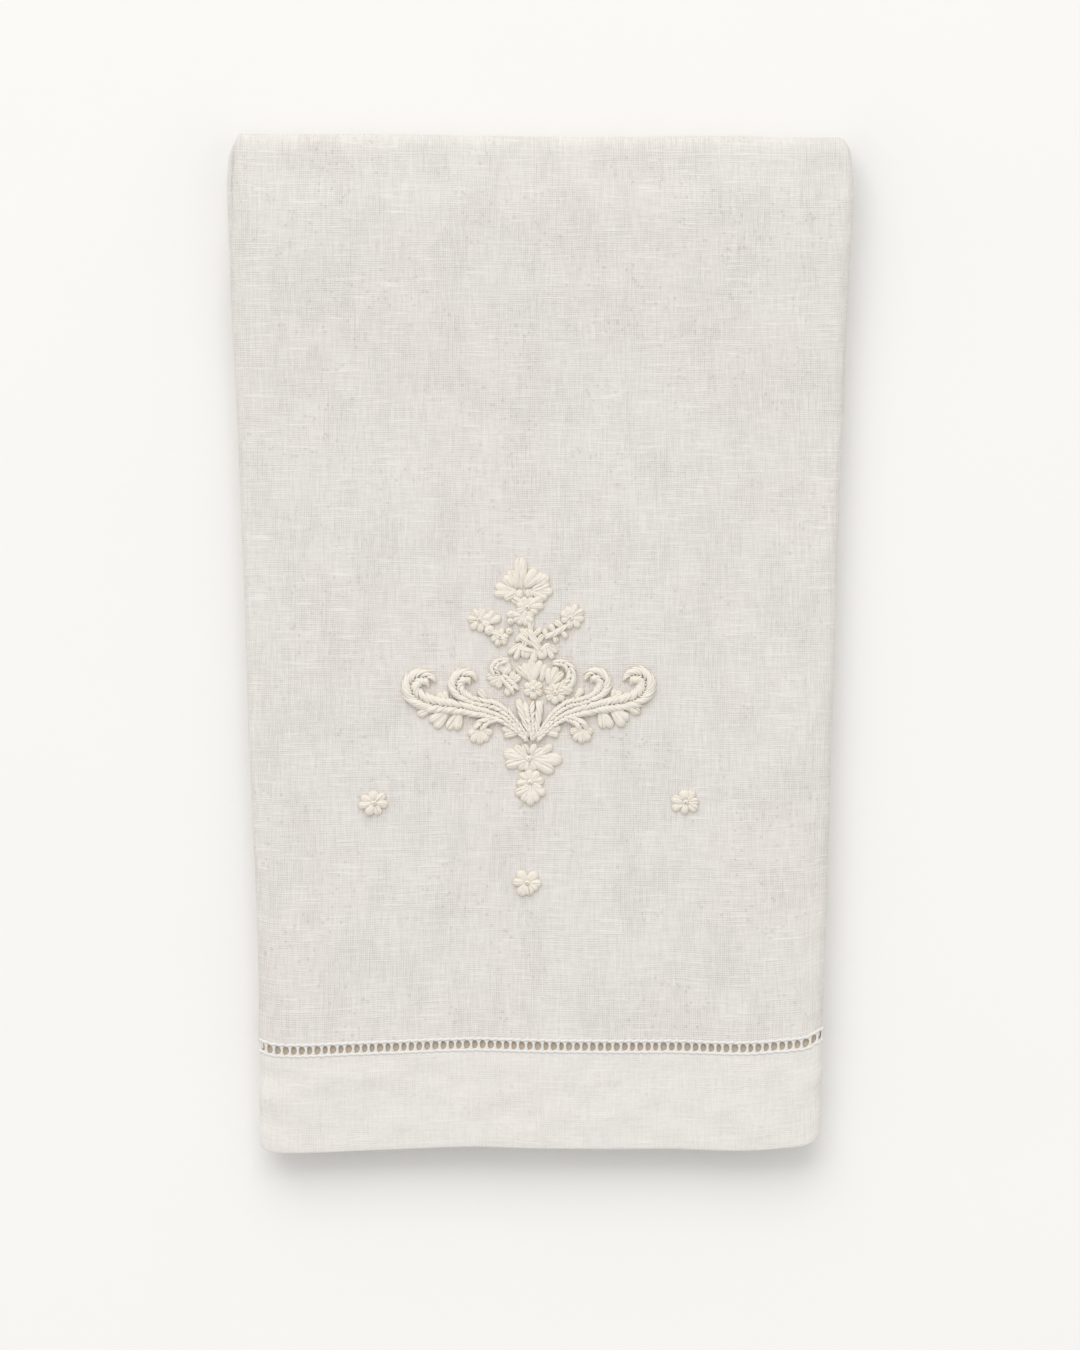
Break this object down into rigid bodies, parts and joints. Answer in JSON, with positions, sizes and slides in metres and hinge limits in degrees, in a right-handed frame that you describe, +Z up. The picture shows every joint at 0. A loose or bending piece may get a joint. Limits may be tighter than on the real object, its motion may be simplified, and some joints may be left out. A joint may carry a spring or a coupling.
{
  "type": "folded embroidered hand towel",
  "caption": "Linen hand towel folded to lie flat, with a hemstitched deep hem and a raised white-on-white flower spray.",
  "frame": {"origin": "on the surface the towel lies on, under the middle of the box around the folded towel", "axes": "+Y from the hems towards the fold across the top, +X to the right of someone facing the embroidered side, +Z up out of the embroidered face"},
  "size_m": [0.1868, 0.3044, 0.0136],
  "materials": {
    "linen": "plain-woven washed linen, off-white, matte, with slubs and small pinholes between the threads",
    "thread": "ivory stranded cotton thread in padded satin stitch, with a soft sheen"
  },
  "bodies": {
    "root": {"cloth": "linen", "stems": "thread", "bow": "thread", "pendant": "thread", "scroll_left": "thread", "scroll_right": "thread", "bouquet_middle": "thread", "bouquet_left": "thread", "bouquet_right": "thread", "leafy_stem": "thread", "rosette": "thread", "crown": "thread", "sprig_left": "thread", "sprig_right": "thread", "floret_left": "thread", "floret_right": "thread", "floret_low": "thread"}
  },
  "joints": []
}
